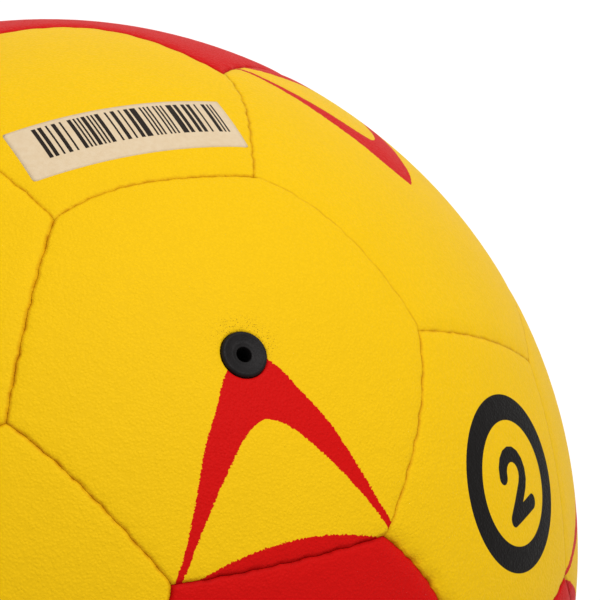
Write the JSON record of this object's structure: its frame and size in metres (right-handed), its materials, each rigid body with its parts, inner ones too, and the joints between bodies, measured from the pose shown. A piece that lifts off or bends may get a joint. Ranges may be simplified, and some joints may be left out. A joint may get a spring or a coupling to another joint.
{
  "type": "handball",
  "caption": "Hand-stitched handball: a ball of sewn hexagon and pentagon panels over foam, cloth and a rubber bladder, with a valve whose plug pulls out.",
  "frame": {"origin": "centre of the ball", "axes": "+Z out through the valve, -Y towards the side that the picture looks at, +X to its right"},
  "size_m": [0.175, 0.175, 0.1753],
  "materials": {
    "yellow_cover": "satin",
    "red_cover": "satin",
    "foam": "matte",
    "lining_cloth": "matte",
    "thread": "matte",
    "bladder_rubber": "satin",
    "valve_rubber": "satin",
    "label_film": "satin"
  },
  "bodies": {
    "ball": {"valve_panel": "yellow_cover", "striped_panel_1": "yellow_cover", "striped_panel_2": "yellow_cover", "striped_panel_3": "yellow_cover", "striped_panel_4": "yellow_cover", "striped_panel_5": "yellow_cover", "striped_panel_6": "yellow_cover", "striped_panel_7": "yellow_cover", "striped_panel_8": "yellow_cover", "striped_panel_9": "yellow_cover", "red_panel_1": "red_cover", "red_panel_2": "red_cover", "red_panel_3": "red_cover", "red_panel_4": "red_cover", "red_panel_5": "red_cover", "red_panel_6": "red_cover", "red_panel_7": "red_cover", "red_panel_8": "red_cover", "red_panel_9": "red_cover", "red_panel_10": "red_cover", "label_panel": "yellow_cover", "badge_panel": "yellow_cover", "pentagon_panel_1": "yellow_cover", "pentagon_panel_2": "yellow_cover", "pentagon_panel_3": "yellow_cover", "pentagon_panel_4": "yellow_cover", "pentagon_panel_5": "yellow_cover", "pentagon_panel_6": "yellow_cover", "pentagon_panel_7": "yellow_cover", "pentagon_panel_8": "yellow_cover", "pentagon_panel_9": "yellow_cover", "pentagon_panel_10": "yellow_cover", "hexagon_foam": "foam", "pentagon_foam": "foam", "valve_foam": "foam", "hexagon_lining": "lining_cloth", "pentagon_lining": "lining_cloth", "valve_lining": "lining_cloth", "hexagon_seam_thread": "thread", "pentagon_seam_thread": "thread", "bladder": "bladder_rubber", "valve_housing": "valve_rubber", "balance_patch": "bladder_rubber", "barcode_label": "label_film"},
    "plug": {"valve_plug": "valve_rubber"}
  },
  "joints": [
    {"name": "plug_pull", "type": "slide", "parent": "ball", "child": "plug", "axis": [0, 0, 1], "range_m": [0, 0.014]}
  ]
}
